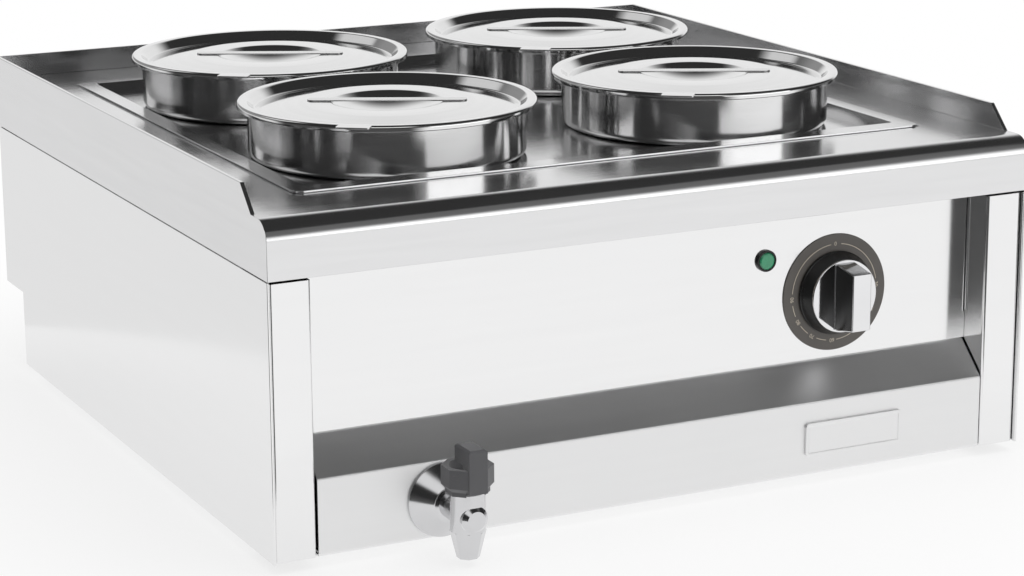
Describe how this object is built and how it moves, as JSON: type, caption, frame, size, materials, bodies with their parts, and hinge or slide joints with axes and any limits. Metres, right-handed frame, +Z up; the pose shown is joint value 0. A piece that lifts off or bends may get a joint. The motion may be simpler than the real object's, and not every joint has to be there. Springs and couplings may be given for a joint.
{
  "type": "bain marie",
  "caption": "Counter-top electric bain marie: square steel body with upstands, lift-out plate, round lidded pots over a heated tank, thermostat knob and lever drain tap.",
  "frame": {"origin": "middle of the whole footprint, tap included, on the surface the feet stand on", "axes": "+X to the right seen from the front, +Y to the back, +Z up"},
  "size_m": [0.6, 0.6524, 0.2772],
  "materials": {
    "body_steel": "fine brushed stainless sheet",
    "tank_steel": "plain mill-finish sheet",
    "pot_steel": "polished stainless steel",
    "plain_steel": "plain turned steel",
    "element_steel": "dull heat-darkened sheath",
    "brass": "machined brass",
    "rubber": "matte black rubber",
    "black_plastic": "satin black plastic",
    "tap_chrome": "bright plated brass",
    "tap_plastic": "satin dark grey plastic",
    "case_plastic": "pale moulded plastic",
    "pipe_plastic": "grey plastic pipe",
    "dial_grey": "satin grey-brown print",
    "knob_chrome": "bright plated",
    "lamp_green": "translucent green lens"
  },
  "bodies": {
    "body": {"worktop": "body_steel", "left_side_panel": "body_steel", "right_side_panel": "body_steel", "left_front_post": "body_steel", "right_front_post": "body_steel", "control_panel": "body_steel", "bottom_rail": "body_steel", "rear_panel": "body_steel", "badge_plate": "body_steel", "base_plate": "tank_steel", "water_tank": "tank_steel", "element_rests": "tank_steel", "feet": "rubber", "tap_washer": "rubber", "foot_screws": "plain_steel", "tap_spring": "plain_steel", "lamp_bezel": "black_plastic", "lamp_body": "black_plastic", "lamp_nut": "black_plastic", "mains_gland": "black_plastic", "mains_gland_nut": "black_plastic", "tap_body": "tap_chrome", "tap_flange": "tap_chrome", "tap_bonnet": "tap_plastic", "tap_lever_pin": "tap_plastic", "thermostat_body": "case_plastic", "overheat_cutout": "case_plastic", "terminal_block": "case_plastic", "element_glands": "brass", "tap_back_nut": "brass", "thermostat_bulb": "brass", "drain_pipe": "pipe_plastic", "heating_element": "element_steel", "dial_plate": "dial_grey", "lamp_lens": "lamp_green"},
    "plate": {"pot_plate": "body_steel"},
    "knob": {"thermostat_shaft": "plain_steel", "knob_skirt": "black_plastic", "knob_cap": "knob_chrome"},
    "lever": {"tap_lever": "tap_plastic"},
    "stem": {"tap_stem": "plain_steel", "tap_stem_pin": "plain_steel", "tap_seat_cup": "rubber"},
    "pot_front_left": {"pot_front_left": "pot_steel"},
    "lid_front_left": {"lid_front_left": "pot_steel", "lid_handle_front_left": "pot_steel"},
    "pot_front_right": {"pot_front_right": "pot_steel"},
    "lid_front_right": {"lid_front_right": "pot_steel", "lid_handle_front_right": "pot_steel"},
    "pot_rear_left": {"pot_rear_left": "pot_steel"},
    "lid_rear_left": {"lid_rear_left": "pot_steel", "lid_handle_rear_left": "pot_steel"},
    "pot_rear_right": {"pot_rear_right": "pot_steel"},
    "lid_rear_right": {"lid_rear_right": "pot_steel", "lid_handle_rear_right": "pot_steel"}
  },
  "joints": [
    {"name": "knob_turn", "type": "hinge", "parent": "body", "child": "knob", "pos_m": [0.1515, -0.24575, 0.136], "axis": [0, 1, 0], "range_deg": [0, 270]},
    {"name": "lever_tilt", "type": "hinge", "parent": "body", "child": "lever", "pos_m": [-0.175, -0.31875, 0.066], "axis": [1, 0, 0], "range_deg": [0, 20], "stiffness_Nm_per_rad": 0.4, "springref_deg": -5.73},
    {"name": "stem_lift", "type": "slide", "parent": "body", "child": "stem", "axis": [0, 0, 1], "range_m": [0, 0.0045], "deforming": ["tap_spring"]},
    {"name": "plate_lift", "type": "slide", "parent": "body", "child": "plate", "axis": [0, 0, 1], "range_m": [0, 0.25]},
    {"name": "pot_lift_front_left", "type": "slide", "parent": "plate", "child": "pot_front_left", "axis": [0, 0, 1], "range_m": [0, 0.22]},
    {"name": "lid_lift_front_left", "type": "slide", "parent": "pot_front_left", "child": "lid_front_left", "axis": [0, 0, 1], "range_m": [0, 0.15]},
    {"name": "pot_lift_front_right", "type": "slide", "parent": "plate", "child": "pot_front_right", "axis": [0, 0, 1], "range_m": [0, 0.22]},
    {"name": "lid_lift_front_right", "type": "slide", "parent": "pot_front_right", "child": "lid_front_right", "axis": [0, 0, 1], "range_m": [0, 0.15]},
    {"name": "pot_lift_rear_left", "type": "slide", "parent": "plate", "child": "pot_rear_left", "axis": [0, 0, 1], "range_m": [0, 0.22]},
    {"name": "lid_lift_rear_left", "type": "slide", "parent": "pot_rear_left", "child": "lid_rear_left", "axis": [0, 0, 1], "range_m": [0, 0.15]},
    {"name": "pot_lift_rear_right", "type": "slide", "parent": "plate", "child": "pot_rear_right", "axis": [0, 0, 1], "range_m": [0, 0.22]},
    {"name": "lid_lift_rear_right", "type": "slide", "parent": "pot_rear_right", "child": "lid_rear_right", "axis": [0, 0, 1], "range_m": [0, 0.15]}
  ],
  "couplings": [
    {"joint": "lever_tilt", "follows": "stem_lift", "rad_per_m": 76.923}
  ]
}
